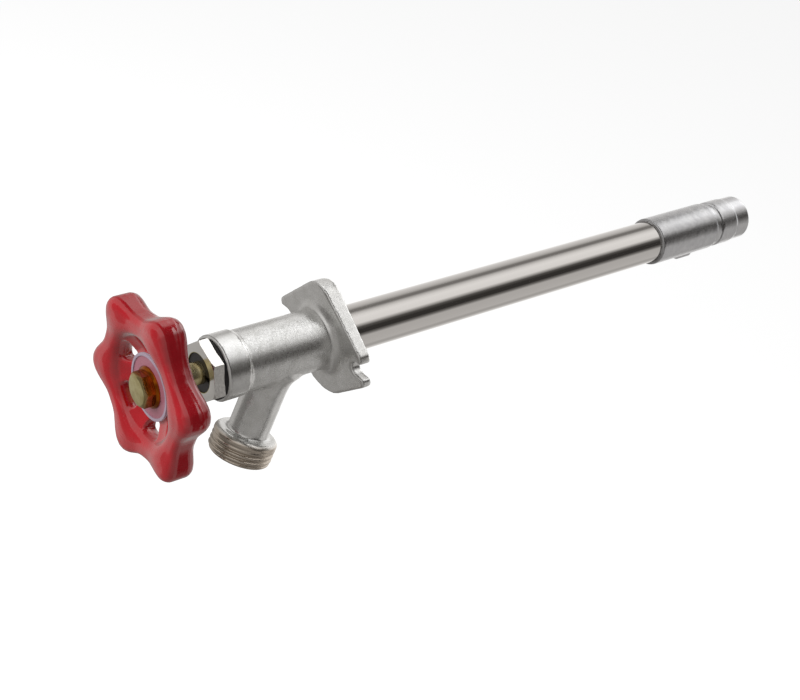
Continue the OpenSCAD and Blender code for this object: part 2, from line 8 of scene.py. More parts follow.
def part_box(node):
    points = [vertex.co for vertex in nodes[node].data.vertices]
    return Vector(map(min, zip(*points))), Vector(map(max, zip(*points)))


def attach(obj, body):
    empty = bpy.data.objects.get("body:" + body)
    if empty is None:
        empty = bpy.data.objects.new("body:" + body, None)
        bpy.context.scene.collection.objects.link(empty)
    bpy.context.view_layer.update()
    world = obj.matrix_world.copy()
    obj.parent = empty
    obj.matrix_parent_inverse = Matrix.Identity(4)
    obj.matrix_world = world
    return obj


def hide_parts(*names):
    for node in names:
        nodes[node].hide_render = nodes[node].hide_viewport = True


MM = 0.001
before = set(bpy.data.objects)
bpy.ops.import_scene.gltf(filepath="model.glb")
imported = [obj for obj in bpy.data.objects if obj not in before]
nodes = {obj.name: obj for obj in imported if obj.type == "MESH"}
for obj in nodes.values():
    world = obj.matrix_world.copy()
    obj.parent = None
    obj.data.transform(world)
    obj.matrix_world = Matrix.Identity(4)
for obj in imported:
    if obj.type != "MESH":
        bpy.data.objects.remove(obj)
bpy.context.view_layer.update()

# Camera, fitted to the tube's straight edges and round collars in the photograph
CAMERA_PLACE = Vector((0.3809, -0.2948, 0.2820))
CAMERA_AZIMUTH = 48.8
CAMERA_ELEVATION = 30.7
CAMERA_ROLL = 6.8
CAMERA_LENS = 61.33
SENSOR_WIDTH = 36.0

# Sizes of the solids that the frame does not hold, as the part's source has them
BARREL_RADIUS = 12.65 * MM
FRONT_COLLAR_RADIUS = 13.4 * MM
FRONT_COLLAR_LENGTH = 10.8 * MM
FITTING_RADIUS = 11.4 * MM
SPIGOT_RADIUS = 10.75 * MM
SPIGOT_LENGTH = 9.6 * MM
SPOUT_STATION = 23.7 * MM
SPOUT_LEAN = math.radians(22)
SPOUT_LENGTH = 49.3 * MM
SPOUT_ROOT = Vector((0, -SPOUT_STATION, 0))
SPOUT_AXIS = Vector((0, -math.sin(SPOUT_LEAN), -math.cos(SPOUT_LEAN)))
HOSE_COLLAR_LENGTH = 11.2 * MM
HOSE_COLLAR_RADIUS = 13.5 * MM
TUBE_RADIUS = 10.0 * MM
RIM_INNER_RADIUS = 20.5 * MM

# Sizes of what only the scene shapes or colours on those solids
THREAD_PITCH = 25.4 / 11.5 * MM
THREAD_DEPTH = 0.9 * MM
GLAND_RISE = 3.1 * MM
NUT_REACH = 0.8 * MM
GASKET_RADIUS = 12.3 * MM
RIM_SQUARENESS = 3.4
SCREW_FACE_RADIUS = 5.7 * MM
BARE_BOX_RADIUS = 8.3 * MM
PLATE_RIM_RADIUS = 12.2 * MM

# Noise stretched into rings round the tube's axis, and into lines along it
RING_STRETCH = (0.02, 1, 0.02)
LINE_STRETCH = (1, 0.01, 1)

# Levels between which most of a noise pattern lies
LOW = 0.3
HIGH = 0.7

# The Mix node's colour sockets, whose names its other sockets have too
COLOUR_A = 6
COLOUR_B = 7
MIXED = 2


def make_camera():
    lens = bpy.data.cameras.new("camera")
    lens.lens = CAMERA_LENS
    lens.sensor_fit = "HORIZONTAL"
    lens.sensor_width = SENSOR_WIDTH
    lens.clip_start = 0.01
    lens.clip_end = 50
    camera = bpy.data.objects.new("camera", lens)
    turn = Matrix.Rotation(math.radians(CAMERA_AZIMUTH), 4, "Z")
    tilt = Matrix.Rotation(math.radians(90 - CAMERA_ELEVATION), 4, "X")
    roll = Matrix.Rotation(math.radians(CAMERA_ROLL), 4, "Z")
    camera.matrix_world = Matrix.Translation(CAMERA_PLACE) @ turn @ tilt @ roll
    bpy.context.scene.collection.objects.link(camera)
    bpy.context.scene.camera = camera


# Colour from an sRGB hex string to the linear values that shaders take
def colour(text):
    def linear(part):
        value = int(part, 16) / 255
        return value / 12.92 if value <= 0.04045 else ((value + 0.055) / 1.055) ** 2.4
    return (linear(text[1:3]), linear(text[3:5]), linear(text[5:7]), 1.0)


# Noise scale that makes grains of about the given size in millimetres
def grains(size_mm):
    return 1 / (size_mm * MM)


# Sets or links a node's inputs, given by name or as a list in their order
def fill(tree, made, inputs):
    for name, value in inputs.items() if isinstance(inputs, dict) else enumerate(inputs):
        socket = made.inputs[name]
        if isinstance(value, bpy.types.NodeSocket):
            tree.links.new(value, socket)
        else:
            socket.default_value = value


# Adds a shader node with its inputs and its own settings, and gives one of its outputs
def add(tree, kind, inputs=(), output=0, **settings):
    made = tree.nodes.new("ShaderNode" + kind)
    for name, value in settings.items():
        setattr(made, name, value)
    fill(tree, made, inputs)
    return made.outputs[output]


# Starts a material; gives it, its tree, its shader and the object coordinates
def start(name):
    material = bpy.data.materials.new(name)
    material.use_nodes = True
    tree = material.node_tree
    return material, tree, tree.nodes["Principled BSDF"], add(tree, "TexCoord", output="Object")


# Distance from the tube's axis
def off_axis(tree, place):
    flat = add(tree, "VectorMath", [place, (1, 0, 1)], operation="MULTIPLY")
    return add(tree, "VectorMath", [flat], "Value", operation="LENGTH")


# Nickel plate over a sand casting: satin grey with the sand's fine grain, a smoother
# zone from machined_from to machined_to, where a tool has cut the casting, and a
# warmer hose collar, where handling has thinned the plate over the brass
def cast_nickel(name, tone, dull_tone, roughness, swing, sand_depth_mm, machined_from, machined_to):
    material, tree, shader, place = start(name)
    sand = add(tree, "TexNoise", {"Vector": place, "Scale": grains(0.9), "Detail": 2})
    waves = add(tree, "TexNoise", {"Vector": place, "Scale": grains(4), "Detail": 2})
    drift = add(tree, "MapRange", [waves, LOW, HIGH, 0, 1])
    plate = add(tree, "Mix", {"Factor": drift, COLOUR_A: colour(tone), COLOUR_B: colour(dull_tone)},
                MIXED, data_type="RGBA")
    down_spout = add(tree, "VectorMath", [place, SPOUT_AXIS], "Value", operation="DOT_PRODUCT")
    collar = SPOUT_ROOT.dot(SPOUT_AXIS) + SPOUT_LENGTH - HOSE_COLLAR_LENGTH
    thinned = add(tree, "MapRange", [down_spout, collar, collar + 1.5 * MM, 0, 1])
    worn_plate = add(tree, "Mix", {"Factor": thinned, COLOUR_A: plate, COLOUR_B: colour("#C6BBAE")},
                     MIXED, data_type="RGBA")
    station = add(tree, "SeparateXYZ", [place], "Y")
    after = add(tree, "Math", [station, machined_from], operation="GREATER_THAN")
    before = add(tree, "Math", [station, machined_to], operation="LESS_THAN")
    machined = add(tree, "Math", [after, before], operation="MULTIPLY")
    cast = add(tree, "Math", [1.0, machined], operation="SUBTRACT")
    rough = add(tree, "MapRange", [sand, LOW, HIGH, roughness - swing, roughness + swing])
    smooth = add(tree, "Math", [machined, roughness - 0.06], operation="MULTIPLY")
    graded = add(tree, "Math", [rough, cast, smooth], operation="MULTIPLY_ADD")
    wound = add(tree, "Mapping", {"Vector": place, "Scale": RING_STRETCH})
    rings = add(tree, "TexNoise", {"Vector": wound, "Scale": grains(0.8), "Detail": 1})
    cut_rings = add(tree, "Math", [rings, machined], operation="MULTIPLY")
    cast_waves = add(tree, "Math", [waves, cast], operation="MULTIPLY")
    cast_sand = add(tree, "Math", [sand, cast], operation="MULTIPLY")
    turned = add(tree, "Bump", {"Height": cut_rings, "Distance": 0.003 * MM})
    uneven = add(tree, "Bump", {"Height": cast_waves, "Distance": 0.07 * MM, "Normal": turned})
    sandy = add(tree, "Bump", {"Height": cast_sand, "Distance": sand_depth_mm * MM, "Normal": uneven})
    fill(tree, shader, {"Base Color": worn_plate, "Metallic": 1.0, "Roughness": graded, "Normal": sandy})
    return material


# Bright turned steel: fine rings round the axis, sharp reflections
def bright_steel():
    material, tree, shader, place = start("bright_steel")
    wound = add(tree, "Mapping", {"Vector": place, "Scale": RING_STRETCH})
    rings = add(tree, "TexNoise", {"Vector": wound, "Scale": grains(0.5), "Detail": 1})
    rough = add(tree, "MapRange", [rings, LOW, HIGH, 0.11, 0.18])
    turned = add(tree, "Bump", {"Height": rings, "Distance": 0.004 * MM})
    fill(tree, shader, {
        "Base Color": colour("#B8B6B2"), "Metallic": 1.0, "Roughness": rough, "Normal": turned,
    })
    return material


# The bonnet: bright plate outside, bare brass on the wall of the packing box
def plated_bonnet():
    material, tree, shader, place = start("plated_bonnet")
    fine = add(tree, "TexNoise", {"Vector": place, "Scale": grains(0.7), "Detail": 2})
    inside = add(tree, "Math", [off_axis(tree, place), BARE_BOX_RADIUS], operation="LESS_THAN")
    tone = add(tree, "Mix", {"Factor": inside, COLOUR_A: colour("#E2E0DC"), COLOUR_B: colour("#B9AE7C")},
               MIXED, data_type="RGBA")
    rough = add(tree, "MapRange", [fine, LOW, HIGH, 0.12, 0.2])
    pitted = add(tree, "Bump", {"Height": fine, "Distance": 0.006 * MM})
    fill(tree, shader, {"Base Color": tone, "Metallic": 1.0, "Roughness": rough, "Normal": pitted})
    return material


# Drawn tube with a bright plate: mirror-like, with very faint lines along its length
def drawn_plated_tube():
    material, tree, shader, place = start("drawn_plated_tube")
    drawn = add(tree, "Mapping", {"Vector": place, "Scale": LINE_STRETCH})
    lines = add(tree, "TexNoise", {"Vector": drawn, "Scale": grains(0.6), "Detail": 2})
    rough = add(tree, "MapRange", [lines, LOW, HIGH, 0.05, 0.09])
    lined = add(tree, "Bump", {"Height": lines, "Distance": 0.002 * MM})
    fill(tree, shader, {
        "Base Color": colour("#D2CFCC"), "Metallic": 1.0, "Roughness": rough, "Normal": lined,
    })
    return material


# Bare turned brass: yellow metal, dulled a little, with tool marks round the axis
def turned_brass():
    material, tree, shader, place = start("turned_brass")
    wound = add(tree, "Mapping", {"Vector": place, "Scale": RING_STRETCH})
    rings = add(tree, "TexNoise", {"Vector": wound, "Scale": grains(0.35), "Detail": 1})
    dull = add(tree, "TexNoise", {"Vector": place, "Scale": grains(2.5), "Detail": 3})
    drift = add(tree, "MapRange", [dull, LOW, HIGH, 0, 1])
    tone = add(tree, "Mix", {"Factor": drift, COLOUR_A: colour("#E0D4AC"), COLOUR_B: colour("#CDBD8C")},
               MIXED, data_type="RGBA")
    rough = add(tree, "MapRange", [rings, LOW, HIGH, 0.2, 0.3])
    turned = add(tree, "Bump", {"Height": rings, "Distance": 0.006 * MM})
    fill(tree, shader, {"Base Color": tone, "Metallic": 1.0, "Roughness": rough, "Normal": turned})
    return material


# Steel with a yellow passivated zinc plate: pale olive gold on the face, and orange brown on the sides
# and the flange, partly the zinc's own iridescent tone, partly a painted reflection of the red wheel and
# painted shade
def yellow_zinc(face_station):
    material, tree, shader, place = start("yellow_zinc")
    waves = add(tree, "TexNoise", {"Vector": place, "Scale": grains(3), "Detail": 2})
    fine = add(tree, "TexNoise", {"Vector": place, "Scale": grains(0.5), "Detail": 2})
    station = add(tree, "SeparateXYZ", [place], "Y")
    behind = add(tree, "MapRange", [station, face_station, face_station + 1.2 * MM, 0, 1])
    drift = add(tree, "MapRange", [waves, LOW, HIGH, 0, 1])
    face = add(tree, "Mix", {"Factor": drift, COLOUR_A: colour("#D8CD98"), COLOUR_B: colour("#BBAB72")},
               MIXED, data_type="RGBA")
    # Sides and flange: the zinc's own tone, with a painted reflection of the red wheel and painted shade
    side_zinc_and_painted_reflection = add(tree, "Mix", {"Factor": drift, COLOUR_A: colour("#C26A1C"), COLOUR_B: colour("#8E480E")},
               MIXED, data_type="RGBA")
    tone = add(tree, "Mix", {"Factor": behind, COLOUR_A: face, COLOUR_B: side_zinc_and_painted_reflection}, MIXED, data_type="RGBA")
    rough = add(tree, "MapRange", [fine, LOW, HIGH, 0.16, 0.24])
    pitted = add(tree, "Bump", {"Height": fine, "Distance": 0.004 * MM})
    fill(tree, shader, {"Base Color": tone, "Metallic": 1.0, "Roughness": rough, "Normal": pitted})
    return material


# Red stoving enamel on a die casting: gloss over a slightly wavy casting
def red_enamel():
    material, tree, shader, place = start("red_enamel")
    waves = add(tree, "TexNoise", {"Vector": place, "Scale": grains(6), "Detail": 2})
    peel = add(tree, "TexNoise", {"Vector": place, "Scale": grains(1.2), "Detail": 1})
    drift = add(tree, "MapRange", [waves, LOW, HIGH, 0, 1])
    tone = add(tree, "Mix", {"Factor": drift, COLOUR_A: colour("#BC0C1E"), COLOUR_B: colour("#B00718")},
               MIXED, data_type="RGBA")
    rough = add(tree, "MapRange", [peel, LOW, HIGH, 0.26, 0.34])
    wavy = add(tree, "Bump", {"Height": waves, "Distance": 0.12 * MM})
    peeled = add(tree, "Bump", {"Height": peel, "Distance": 0.006 * MM, "Normal": wavy})
    fill(tree, shader, {
        "Base Color": tone, "Roughness": rough, "Normal": peeled, "Specular IOR Level": 0.15,
        "Coat Weight": 1.0, "Coat Roughness": 0.05, "Coat IOR": 1.8,
    })
    return material


# Aluminium disc, left bare: a pale raised rim round a pink field, whose pink is a painted reflection of
# the red wheel
def plate_painted_red_reflection():
    material, tree, shader, place = start("plate_painted_red_reflection")
    fine = add(tree, "TexNoise", {"Vector": place, "Scale": grains(0.4), "Detail": 2})
    drift = add(tree, "MapRange", [fine, LOW, HIGH, 0, 1])
    # The field's pink is a painted reflection of the red wheel round the plate
    pink_painted_reflection = add(tree, "Mix", {"Factor": drift, COLOUR_A: colour("#C2808F"), COLOUR_B: colour("#B57283")},
                MIXED, data_type="RGBA")
    rim = add(tree, "Math", [off_axis(tree, place), PLATE_RIM_RADIUS], operation="GREATER_THAN")
    tone = add(tree, "Mix", {"Factor": rim, COLOUR_A: pink_painted_reflection, COLOUR_B: colour("#BCAABB")},
               MIXED, data_type="RGBA")
    rough = add(tree, "MapRange", [fine, LOW, HIGH, 0.3, 0.42])
    fill(tree, shader, {"Base Color": tone, "Metallic": 0.3, "Roughness": rough})
    return material


# Moulded rubber or nylon: matt, with a fine even grain from the mould
def moulded(name, tone, other_tone, roughness):
    material, tree, shader, place = start(name)
    fine = add(tree, "TexNoise", {"Vector": place, "Scale": grains(0.3), "Detail": 2})
    drift = add(tree, "MapRange", [fine, LOW, HIGH, 0, 1])
    mixed = add(tree, "Mix", {"Factor": drift, COLOUR_A: colour(tone), COLOUR_B: colour(other_tone)},
                MIXED, data_type="RGBA")
    rough = add(tree, "MapRange", [fine, LOW, HIGH, roughness - 0.06, roughness + 0.06])
    grainy = add(tree, "Bump", {"Height": fine, "Distance": 0.01 * MM})
    fill(tree, shader, {"Base Color": mixed, "Roughness": rough, "Normal": grainy})
    return material


def link(name, mesh):
    made = bpy.data.objects.new(name, mesh)
    bpy.context.scene.collection.objects.link(made)
    return made


def mesh_from(bm, name):
    mesh = bpy.data.meshes.new(name)
    bm.to_mesh(mesh)
    bm.free()
    return mesh


# 1 on rays from the camera, from polished metal and through glass, 0 on the rest
def seen_directly(tree):
    rays = add(tree, "LightPath").node.outputs
    polished = add(tree, "Math", [rays["Is Glossy Ray"], rays["Is Transmission Ray"]], operation="MAXIMUM")
    return add(tree, "Math", [rays["Is Camera Ray"], polished], operation="MAXIMUM")


FLOOR_DROP = 0.35
FLOOR_SIZE = 6.0
FLOOR_LIFT = 0.68
SKY_LIGHT = 0.33


# White painted board: the plain pale floor, lifted to the white of the backdrop
def pale_board():
    material, tree, shader, _ = start("pale_board")
    shade = add(tree, "BsdfDiffuse", {"Color": colour("#CFCFCF")})
    strength = add(tree, "Math", [seen_directly(tree), FLOOR_LIFT], operation="MULTIPLY")
    lift = add(tree, "Emission", {"Strength": strength})
    both = add(tree, "AddShader", [shade, lift])
    fill(tree, tree.nodes["Material Output"], {"Surface": both})
    tree.nodes.remove(shader)
    return material


def make_floor():
    bm = bmesh.new()
    bmesh.ops.create_grid(bm, x_segments=1, y_segments=1, size=FLOOR_SIZE)
    bmesh.ops.translate(bm, vec=(0, 0, -FLOOR_DROP), verts=bm.verts)
    floor = link("floor", mesh_from(bm, "floor"))
    floor.data.materials.append(pale_board())
    floor.visible_glossy = False


def make_world():
    world = bpy.data.worlds.new("studio")
    bpy.context.scene.world = world
    world.use_nodes = True
    tree = world.node_tree
    level = add(tree, "MapRange", [seen_directly(tree), 0, 1, SKY_LIGHT, 1.0])
    fill(tree, tree.nodes["Background"], {"Color": (1, 1, 1, 1), "Strength": level})


# Reflector boards in a ring round the tube, which only polished surfaces see. Each has a
# stretch along the tube in metres, and its brightness at angles round it in degrees, 0
# overhead and 90 at the right
REFLECTOR_RADIUS = 1.2
REFLECTOR_PEAK = 2.4
REFLECTOR_WARMTH = 0.018
REFLECTORS = {
    "outer_board": (-30, -1.12, [
        (-180, 0.2), (-96, 0.2), (-60, 0.18), (0, 0.2), (23, 0.5), (60, 0.25), (90, 0.31), (125, 0.33),
        (180, 0.2),
    ]),
    "front_board": (-1.12, 0, [
        (-180, 0.2), (-150, 0.2), (-138, 0.3), (-127, 0.44), (-115, 0.5), (-60, 0.5), (-30, 0.6),
        (0, 0.8), (35, 0.7), (55, 0.4), (90, 0.33), (125, 0.33), (150, 0.22), (180, 0.2),
    ]),
    "spout_board": (0, 0.38, [
        (-180, 0.3), (-60, 0.3), (-40, 0.08), (100, 0.06), (112, 0.35), (135, 0.35), (180, 0.3),
    ]),
    "wheel_board": (0.38, 0.51, [
        (-180, 0.3), (-60, 0.5), (-35, 0.9), (-18, 0.9), (-2, 0.04), (150, 0.02), (165, 0.2),
        (180, 0.3),
    ]),
    "nut_board": (0.51, 0.575, [
        (-180, 0.35), (-145, 0.4), (-120, 1.0), (-60, 0.6), (-30, 1.3), (-10, 2.2), (30, 2.2),
        (60, 0.3), (90, 0.1), (110, 0.5), (128, 0.55), (165, 0.4), (180, 0.35),
    ]),
    "barrel_board": (0.575, 0.70, [
        (-180, 0.28), (-145, 0.35), (-120, 0.95), (-100, 0.8), (-84, 0.38), (-70, 0.34), (-54, 1.2),
        (-30, 1.8), (-12, 2.1), (8, 1.9), (24, 1.25), (38, 0.8), (52, 0.45), (64, 0.25), (84, 0.07),
        (96, 0.07), (106, 0.2), (120, 0.26), (165, 0.26), (180, 0.28),
    ]),
    "tube_board": (0.70, 1.52, [
        (-180, 0.52), (-169, 0.7), (-133, 1.1), (-120, 1.1), (-72, 0.78), (-60, 0.72), (-48, 0.56),
        (-36, 0.25), (-24, 0.24), (-12, 0.68), (0, 0.96), (12, 1.08), (41, 1.0), (47, 0.66), (59, 0.12),
        (71, 0.045), (87, 0.045), (97, 0.22), (107, 0.6), (155, 0.64), (167, 0.5), (180, 0.52),
    ]),
    "fitting_board": (1.52, 1.61, [
        (-180, 0.5), (-156, 1.2), (-120, 1.1), (-72, 0.58), (-40, 0.8), (-30, 1.2), (0, 1.2), (24, 0.8),
        (36, 0.42), (48, 0.12), (60, 0.06), (72, 0.06), (84, 0.2), (108, 0.5), (168, 0.5), (180, 0.5),
    ]),
    "spigot_board": (1.61, 4, [
        (-180, 0.5), (-156, 1.2), (-120, 1.2), (-72, 0.8), (-40, 1.5), (-30, 2.2), (0, 2.2), (20, 1.1),
        (34, 0.6), (48, 0.2), (60, 0.12), (72, 0.16), (84, 0.34), (108, 0.6), (168, 0.5), (180, 0.5),
    ]),
}


def reflector_material(name, stops):
    material, tree, shader, place = start(name)
    material.cycles.emission_sampling = "NONE"
    axes = add(tree, "SeparateXYZ", [place]).node.outputs
    angle = add(tree, "Math", [axes["X"], axes["Z"]], operation="ARCTAN2")
    turn = add(tree, "MapRange", [angle, -math.pi, math.pi, 0, 1])
    ramp = add(tree, "ValToRGB", [turn])
    points = ramp.node.color_ramp.elements
    while len(points) < len(stops):
        points.new(0.5)
    for point, (degrees, level) in zip(points, stops):
        share = level / REFLECTOR_PEAK
        point.position = (degrees + 180) / 360
        point.color = (share, share ** (1 + REFLECTOR_WARMTH), share ** (1 + 2 * REFLECTOR_WARMTH), 1)
    glow = add(tree, "Emission", {"Color": ramp, "Strength": REFLECTOR_PEAK})
    fill(tree, tree.nodes["Material Output"], {"Surface": glow})
    tree.nodes.remove(shader)
    return material


def make_reflector(name, near, far, stops):
    bm = bmesh.new()
    bmesh.ops.create_cone(
        bm, cap_ends=False, segments=96, radius1=REFLECTOR_RADIUS, radius2=REFLECTOR_RADIUS,
        depth=far - near,
    )
    bmesh.ops.rotate(bm, cent=(0, 0, 0), matrix=Matrix.Rotation(math.pi / 2, 3, "X"), verts=bm.verts)
    bmesh.ops.translate(bm, vec=(0, (near + far) / 2, 0), verts=bm.verts)
    board = link(name, mesh_from(bm, name))
    board.data.materials.append(reflector_material(name, stops))
    board.visible_camera = False
    board.visible_diffuse = False
    board.visible_shadow = False
    board.visible_transmission = False


KEY_PLACE = Vector((-0.5, -1.2, 0.9))
KEY_SIZE = 1.2
KEY_BRIGHTNESS = 3.4


# The soft key lamp, which faces the tap from the front left
def make_key_lamp():
    lamp = bpy.data.lights.new("key", "AREA")
    lamp.shape = "RECTANGLE"
    lamp.size = KEY_SIZE
    lamp.size_y = KEY_SIZE
    lamp.energy = 4 * KEY_SIZE * KEY_SIZE * KEY_BRIGHTNESS
    made = bpy.data.objects.new("key", lamp)
    made.location = KEY_PLACE
    made.rotation_euler = (-KEY_PLACE).to_track_quat("-Z", "Y").to_euler()
    made.visible_camera = False
    made.visible_glossy = False
    bpy.context.scene.collection.objects.link(made)


def make_studio():
    bpy.context.scene.view_settings.view_transform = "Standard"
    make_world()
    make_floor()
    for name, (near, far, stops) in REFLECTORS.items():
        make_reflector(name, near, far, stops)
    make_key_lamp()


# Loose triangles of a CAD node, merged into one closed mesh
def merged_copy(node):
    bm = bmesh.new()
    bm.from_mesh(nodes[node].data)
    bmesh.ops.remove_doubles(bm, verts=bm.verts, dist=0.002 * MM)
    return bm


# Applies an object's modifiers and gives the mesh that results
def applied(made):
    bpy.context.view_layer.update()
    depsgraph = bpy.context.evaluated_depsgraph_get()
    mesh = bpy.data.meshes.new_from_object(made.evaluated_get(depsgraph))
    old = made.data
    made.modifiers.clear()
    made.data = mesh
    bpy.data.meshes.remove(old)
    return mesh


def smooth_out(bm, verts, rounds):
    for _ in range(rounds):
        bmesh.ops.smooth_vert(
            bm, verts=verts, factor=0.5, use_axis_x=True, use_axis_y=True, use_axis_z=True
        )


# A cast piece: the CAD form in an even fine mesh, its edges and joins worn soft
def softened(node, name, voxel_mm, rounds, shape=None):
    made = link(name, mesh_from(merged_copy(node), name))
    remesh = made.modifiers.new("even_mesh", "REMESH")
    remesh.mode = "VOXEL"
    remesh.voxel_size = voxel_mm * MM
    mesh = applied(made)
    bm = bmesh.new()
    bm.from_mesh(mesh)
    smooth_out(bm, bm.verts, rounds)
    if shape:
        shape(bm)
    for face in bm.faces:
        face.smooth = True
    bm.to_mesh(mesh)
    bm.free()
    mesh.name = name
    return made


# Draws the skin near a turned surface onto its true radius
def trued(bm, radius, near, far, reach=0.3 * MM):
    for vert in bm.verts:
        if near < vert.co.y < far:
            here = math.hypot(vert.co.x, vert.co.z)
            error = abs(here - radius)
            if error < reach:
                scale = 1 + (radius / here - 1) * (1 - (error / reach) ** 2)
                vert.co.x *= scale
                vert.co.z *= scale


# How far a point lies along the spout's axis, and its arm out from that axis
def on_spout(point):
    arm = point - SPOUT_ROOT
    along = arm.dot(SPOUT_AXIS)
    return along, arm - SPOUT_AXIS * along


RIM_SECTORS = 120
SECTOR_DEGREES = 360 / RIM_SECTORS
RIM_ROUNDNESS = 2.3


# The rim's outer edge sector by sector, as [outer radius, front, back], evened out
def rim_sectors(bm):
    found = [[] for _ in range(RIM_SECTORS)]
    for vert in bm.verts:
        radius = math.hypot(vert.co.x, vert.co.z)
        if radius > RIM_INNER_RADIUS + 4 * MM:
            sector = math.degrees(math.atan2(vert.co.z, vert.co.x)) / SECTOR_DEGREES
            found[round(sector) % RIM_SECTORS].append((radius, vert.co.y))
    edges = [
        (max(radius for radius, _ in here), min(y for _, y in here), max(y for _, y in here))
        for here in found
    ]
    return [
        [sum(edges[(step + near) % RIM_SECTORS][part] for near in (-1, 0, 1)) / 3 for part in range(3)]
        for step in range(RIM_SECTORS)
    ]


# Squares up the rim's section, so that its front meets its outer side in a firm edge
def square_rim(bm):
    sectors = rim_sectors(bm)
    for vert in bm.verts:
        radius = math.hypot(vert.co.x, vert.co.z)
        sector = math.degrees(math.atan2(vert.co.z, vert.co.x)) / SECTOR_DEGREES % RIM_SECTORS
        first = int(sector) % RIM_SECTORS
        share = sector - int(sector)
        outer, front, back = (
            here + (ahead - here) * share
            for here, ahead in zip(sectors[first], sectors[(first + 1) % RIM_SECTORS])
        )
        half_width = (outer - RIM_INNER_RADIUS) / 2
        half_depth = (back - front) / 2
        across = (radius - outer + half_width) / half_width
        along = (vert.co.y - (front + back) / 2) / half_depth
        if across < -0.5 or abs(across) + abs(along) < 0.3:
            continue
        fade = min(1, (across + 0.5) / 0.6)
        power = 2 + (RIM_SQUARENESS - 2) * fade
        before = (abs(across) ** RIM_ROUNDNESS + abs(along) ** RIM_ROUNDNESS) ** (1 / RIM_ROUNDNESS)
        after = (abs(across) ** power + abs(along) ** power) ** (1 / power)
        grow = 1 + (before / after - 1) * fade
        across = max(-1, min(1, across * grow))
        along = max(-1, min(1, along * grow))
        new_radius = outer - half_width + across * half_width
        vert.co.x *= new_radius / radius
        vert.co.z *= new_radius / radius
        vert.co.y = (front + back) / 2 + along * half_depth
    smooth_out(bm, bm.verts, 5)


# Cuts the hose thread into the spout's collar
def cut_hose_thread(bm):
    first = SPOUT_LENGTH - HOSE_COLLAR_LENGTH + 2.4 * MM
    last = SPOUT_LENGTH - 0.6 * MM
    inner_radius = HOSE_COLLAR_RADIUS - 1.2 * MM
    skin = set()
    for vert in bm.verts:
        along, arm = on_spout(vert.co)
        if first < along < last and arm.length > inner_radius:
            skin.add(vert)
    edges = [edge for edge in bm.edges if skin.issuperset(edge.verts)]
    bmesh.ops.subdivide_edges(bm, edges=edges, cuts=1, use_grid_fill=True)
    across = Vector((1, 0, 0))
    upright = SPOUT_AXIS.cross(across)
    for vert in bm.verts:
        along, arm = on_spout(vert.co)
        if not first < along < last or arm.length < inner_radius:
            continue
        angle = math.atan2(arm.dot(upright), arm.dot(across))
        phase = along / THREAD_PITCH - angle / (2 * math.pi)
        groove = (0.5 - 0.5 * math.cos(2 * math.pi * phase)) ** 1.5
        fade = min(1, (along - first) / THREAD_PITCH, (last - along) / (0.4 * THREAD_PITCH))
        vert.co -= arm.normalized() * THREAD_DEPTH * fade * groove


def shape_head(bm):
    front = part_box("head_casting")[0].y
    collar_end = front + FRONT_COLLAR_LENGTH
    trued(bm, FRONT_COLLAR_RADIUS, front + 0.5 * MM, collar_end - 1.0 * MM)
    trued(bm, BARREL_RADIUS, collar_end + 0.2 * MM, -9.5 * MM)
    blend_root(bm)
    cut_hose_thread(bm)


# Softens the join where the spout runs into the barrel, as a pattern maker's fillet does
def blend_root(bm):
    join = []
    for vert in bm.verts:
        along, arm = on_spout(vert.co)
        outside = math.hypot(vert.co.x, vert.co.z) > 11.5 * MM
        if outside and vert.co.z < -8 * MM and along < 24 * MM and arm.length < 22 * MM:
            if vert.co.y < -5.5 * MM:
                join.append(vert)
    smooth_out(bm, join, 30)


# Closes the softened mouth of the fitting down onto the tube, as the braze does
def close_mouth(bm, front):
    for vert in bm.verts:
        here = math.hypot(vert.co.x, vert.co.z)
        if vert.co.y < front + 1.2 * MM and here < TUBE_RADIUS + 0.55 * MM:
            scale = (TUBE_RADIUS - 0.1 * MM) / here
            vert.co.x *= scale
            vert.co.z *= scale


def shape_inlet(bm):
    front, back = (corner.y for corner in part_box("inlet_fitting"))
    spigot = back - SPIGOT_LENGTH
    trued(bm, FITTING_RADIUS, front + 1.0 * MM, spigot - 16 * MM)
    trued(bm, SPIGOT_RADIUS, spigot + 0.3 * MM, back - 1.0 * MM)
    close_mouth(bm, front)


MERGE_STEP = 0.001 * MM
FLAT_ANGLE = math.radians(1)
EDGE_ANGLE = math.radians(25)
# Less than the 15 degrees between a hexagon's face and the first step of its bevel
SHARP_ANGLE = math.radians(12)


# A turned or hexagon piece: the CAD form with its edges broken by a small bevel
def edged(node, name, width_mm, shape=None):
    bm = merged_copy(node)
    bmesh.ops.dissolve_limit(
        bm, angle_limit=FLAT_ANGLE, verts=bm.verts, edges=bm.edges, use_dissolve_boundaries=False
    )
    if shape:
        shape(bm)
    sharp = [edge for edge in bm.edges if edge.calc_face_angle(0) > EDGE_ANGLE]
    bmesh.ops.bevel(
        bm, geom=sharp, offset=width_mm * MM, affect="EDGES", segments=2, profile=0.5, material=-1,
        clamp_overlap=True,
    )
    for face in bm.faces:
        face.smooth = True
    made = link(name, mesh_from(bm, name))
    made.data.set_sharp_from_angle(angle=SHARP_ANGLE)
    return made


# Brings the gland's face and its slots up to just inside the bonnet's rim
def shape_gland(bm):
    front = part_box("packing_gland")[0].y
    for vert in bm.verts:
        if vert.co.y < front + 3 * MM:
            vert.co.y -= GLAND_RISE


# Lets the hexagon reach back over the gasket, which is squeezed as it is tightened
def shape_nut(bm):
    flat_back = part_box("bonnet_gasket")[0].y
    for vert in bm.verts:
        if abs(vert.co.y - flat_back) < 0.02 * MM and math.hypot(vert.co.x, vert.co.z) > 11 * MM:
            vert.co.y += NUT_REACH


SCREW_CUTS = 48


